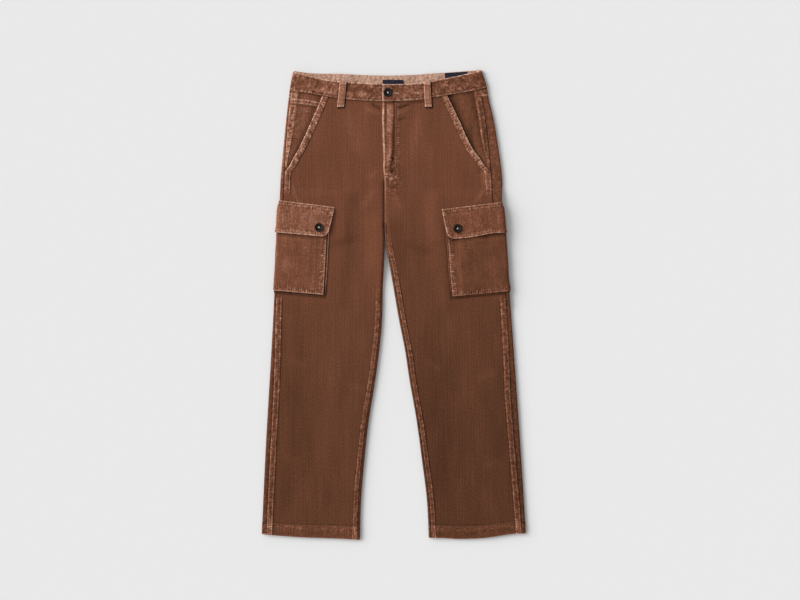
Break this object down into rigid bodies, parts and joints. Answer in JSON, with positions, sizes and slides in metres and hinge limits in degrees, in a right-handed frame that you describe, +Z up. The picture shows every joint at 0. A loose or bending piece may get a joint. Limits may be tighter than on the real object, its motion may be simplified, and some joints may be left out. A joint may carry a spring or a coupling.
{
  "type": "corduroy cargo trousers",
  "caption": "Corduroy cargo trousers laid flat and fastened, with slanted front pockets, buttoned cargo pockets, belt loops and felled seams.",
  "frame": {"origin": "middle of the underside of the whole garment, on the surface it lies on", "axes": "+Y from the leg openings to the waist, +X to the wearer's left, +Z up from the surface through the front of the garment"},
  "size_m": [0.5933, 1.0555, 0.0213],
  "materials": {
    "corduroy": "brown fine-wale cotton corduroy, washed",
    "worn_corduroy": "the same corduroy, worn lighter at bands, flaps and edges",
    "label_cloth": "dark navy woven label, bare",
    "button_plastic": "dark brown-black moulded button, slightly glossy"
  },
  "bodies": {
    "root": {"right_front": "corduroy", "left_front": "corduroy", "right_back": "corduroy", "left_back": "corduroy", "right_yoke": "corduroy", "left_yoke": "corduroy", "right_pocket_facing": "corduroy", "left_pocket_facing": "corduroy", "coin_pocket": "corduroy", "right_cargo_gusset": "worn_corduroy", "left_cargo_gusset": "worn_corduroy", "right_cargo_pocket": "corduroy", "left_cargo_pocket": "corduroy", "right_cargo_flap": "worn_corduroy", "left_cargo_flap": "worn_corduroy", "right_flap_button": "button_plastic", "left_flap_button": "button_plastic", "waistband": "worn_corduroy", "fly_shield": "corduroy", "waist_button": "button_plastic", "belt_loop_front_right": "worn_corduroy", "belt_loop_front_left": "worn_corduroy", "belt_loop_back_right": "worn_corduroy", "belt_loop_back_centre": "worn_corduroy", "belt_loop_back_left": "worn_corduroy", "centre_label": "label_cloth", "side_label": "label_cloth"}
  },
  "joints": []
}
